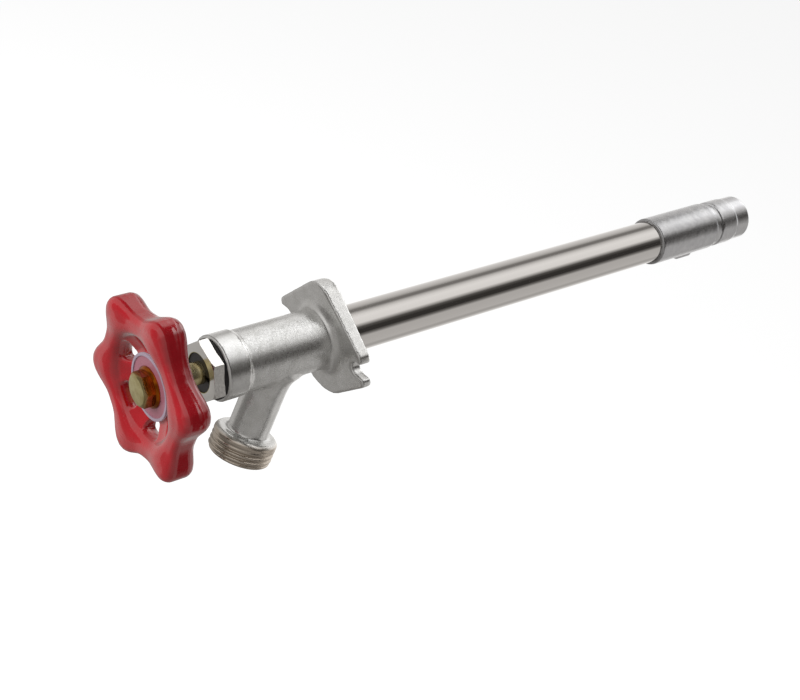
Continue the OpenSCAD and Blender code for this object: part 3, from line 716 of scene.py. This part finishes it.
# Turns the corners off the hexagon's front, as on a headed screw
def shape_screw(bm):
    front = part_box("handle_screw")[0].y
    for step in range(SCREW_CUTS):
        turn = 2 * math.pi * step / SCREW_CUTS
        arm = Vector((math.cos(turn), 0, math.sin(turn)))
        bmesh.ops.bisect_plane(
            bm, geom=bm.verts[:] + bm.edges[:] + bm.faces[:], dist=MERGE_STEP,
            plane_co=Vector((0, front, 0)) + arm * SCREW_FACE_RADIUS,
            plane_no=(arm - Vector((0, 1, 0)) * 2).normalized(), clear_outer=True,
        )
        rim = [edge for edge in bm.edges if edge.is_boundary]
        if rim:
            bmesh.ops.contextual_create(bm, geom=rim)


# Outline of a turned ring as [radius, station] corners in order round its wall
def ring_outline(bm):
    def corner(vert):
        return round(math.hypot(vert.co.x, vert.co.z), 5), round(vert.co.y, 5)
    nearby = {}
    for edge in bm.edges:
        first, second = (corner(vert) for vert in edge.verts)
        if first != second:
            nearby.setdefault(first, set()).add(second)
            nearby.setdefault(second, set()).add(first)
    outline = [min(nearby)]
    while True:
        ahead = sorted(step for step in nearby[outline[-1]] if step not in outline)
        if not ahead:
            return outline
        outline.append(ahead[0])


# A turned ring: the CAD node's own outline, spun again in finer steps
def respun(node, name, segments, edge_mm, widest=1.0, foremost=-1.0):
    copy = merged_copy(node)
    outline = [
        (min(radius, widest), max(station, foremost)) for radius, station in ring_outline(copy)
    ]
    copy.free()
    bm = bmesh.new()
    corners = [bm.verts.new((radius, station, 0)) for radius, station in outline]
    for here, ahead in zip(corners, corners[1:] + corners[:1]):
        bm.edges.new((here, ahead))
    bmesh.ops.bevel(
        bm, geom=corners, offset=edge_mm * MM, affect="VERTICES", segments=2, profile=0.5, material=-1
    )
    bmesh.ops.spin(
        bm, geom=bm.verts[:] + bm.edges[:], cent=(0, 0, 0), axis=(0, 1, 0), angle=2 * math.pi,
        steps=segments, use_merge=True,
    )
    bmesh.ops.remove_doubles(bm, verts=bm.verts, dist=MERGE_STEP)
    bmesh.ops.recalc_face_normals(bm, faces=bm.faces)
    for face in bm.faces:
        face.smooth = True
    made = link(name, mesh_from(bm, name))
    made.data.set_sharp_from_angle(angle=SHARP_ANGLE)
    return made


def place_piece(made, node, body, material):
    made.data.materials.clear()
    made.data.materials.append(material)
    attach(made, body)
    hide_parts(node)


make_camera()
make_studio()

head_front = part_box("head_casting")[0].y
inlet_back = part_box("inlet_fitting")[1].y
head_nickel = cast_nickel(
    "cast_nickel_head", "#E8E8E7", "#DCDCDA", 0.3, 0.05, 0.014, head_front - MM,
    head_front + FRONT_COLLAR_LENGTH,
)
inlet_nickel = cast_nickel(
    "cast_nickel_inlet", "#C7C7C8", "#BABABC", 0.25, 0.015, 0.004, inlet_back - SPIGOT_LENGTH,
    inlet_back + MM,
)
brass = turned_brass()
rubber = moulded("moulded_rubber", "#161616", "#202020", 0.55)
black_nylon = moulded("black_nylon", "#1B1A19", "#262422", 0.42)
steel = bright_steel()

place_piece(softened("head_casting", "cast_head", 0.5, 4, shape_head),
            "head_casting", "tap_body", head_nickel)
place_piece(softened("inlet_fitting", "cast_inlet", 0.36, 4, shape_inlet),
            "inlet_fitting", "tap_body", inlet_nickel)
wheel = softened("handle_wheel", "enamelled_wheel", 0.45, 8, square_rim)
wheel.visible_glossy = False
place_piece(wheel, "handle_wheel", "stem", red_enamel())
place_piece(respun("barrel_tube", "plated_tube", 160, 0.1),
            "barrel_tube", "tap_body", drawn_plated_tube())
gasket_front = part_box("bonnet_gasket")[0].y + NUT_REACH
place_piece(respun("bonnet_gasket", "rubber_gasket", 96, 0.2, GASKET_RADIUS, gasket_front),
            "bonnet_gasket", "tap_body", rubber)
place_piece(respun("handle_plate", "bare_plate", 96, 0.12),
            "handle_plate", "stem", plate_painted_red_reflection())
place_piece(edged("bonnet_nut", "plated_bonnet", 0.25, shape_nut),
            "bonnet_nut", "tap_body", plated_bonnet())
place_piece(edged("handle_screw", "zinc_screw", 0.12, shape_screw),
            "handle_screw", "stem", yellow_zinc(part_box("handle_screw")[0].y))
place_piece(edged("stem_spindle", "brass_spindle", 0.15),
            "stem_spindle", "stem", brass)
place_piece(edged("packing_gland", "nylon_gland", 0.2, shape_gland),
            "packing_gland", "tap_body", black_nylon)

FINISHES = {
    "packing_washer": brass,
    "stem_packing": moulded("graphite_packing", "#3A3A3C", "#2C2C2E", 0.5),
    "stem_o_ring": rubber,
    "stop_washer": moulded("white_nylon", "#E8E6DC", "#DEDCD2", 0.45),
    "operating_rod": brass,
    "rod_pins": steel,
    "threaded_plug": brass,
    "swivel_pin": steel,
    "disc_holder": brass,
    "seat_washer": rubber,
    "washer_screw": brass,
}
for node_name, material in FINISHES.items():
    nodes[node_name].data.materials.clear()
    nodes[node_name].data.materials.append(material)
